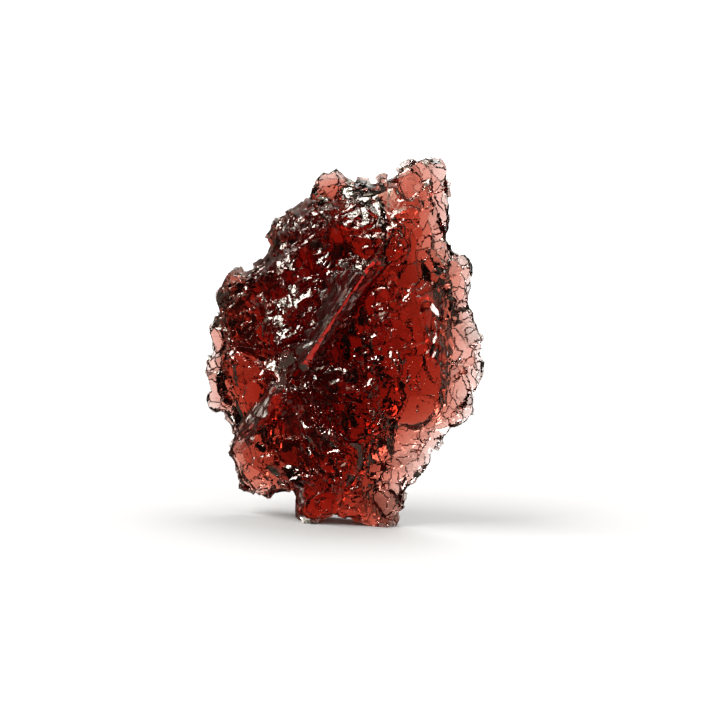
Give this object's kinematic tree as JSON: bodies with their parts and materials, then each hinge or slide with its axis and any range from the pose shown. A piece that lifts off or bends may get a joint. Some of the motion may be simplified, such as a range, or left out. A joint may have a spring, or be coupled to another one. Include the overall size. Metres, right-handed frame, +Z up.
{
  "type": "zincite crystal",
  "caption": "Loose piece of clear red zincite: a ragged, plate-like lump with a fan of broken ridges, thick and dark in the middle, thin and pink round the rim.",
  "frame": {"origin": "on the ground under the middle of the crystal", "axes": "+Z up the tall way of the crystal as it stands, +X to the right as its fan-shaped broken face is seen, +Y through its thickness to the back"},
  "size_m": [0.0372, 0.0182, 0.0501],
  "materials": {
    "zincite_crystal": "clear deep red crystal with broken, glassy faces, some of them frosted grey-brown; pink where it is thin"
  },
  "bodies": {
    "root": {"zincite_crystal": "zincite_crystal"}
  },
  "joints": []
}
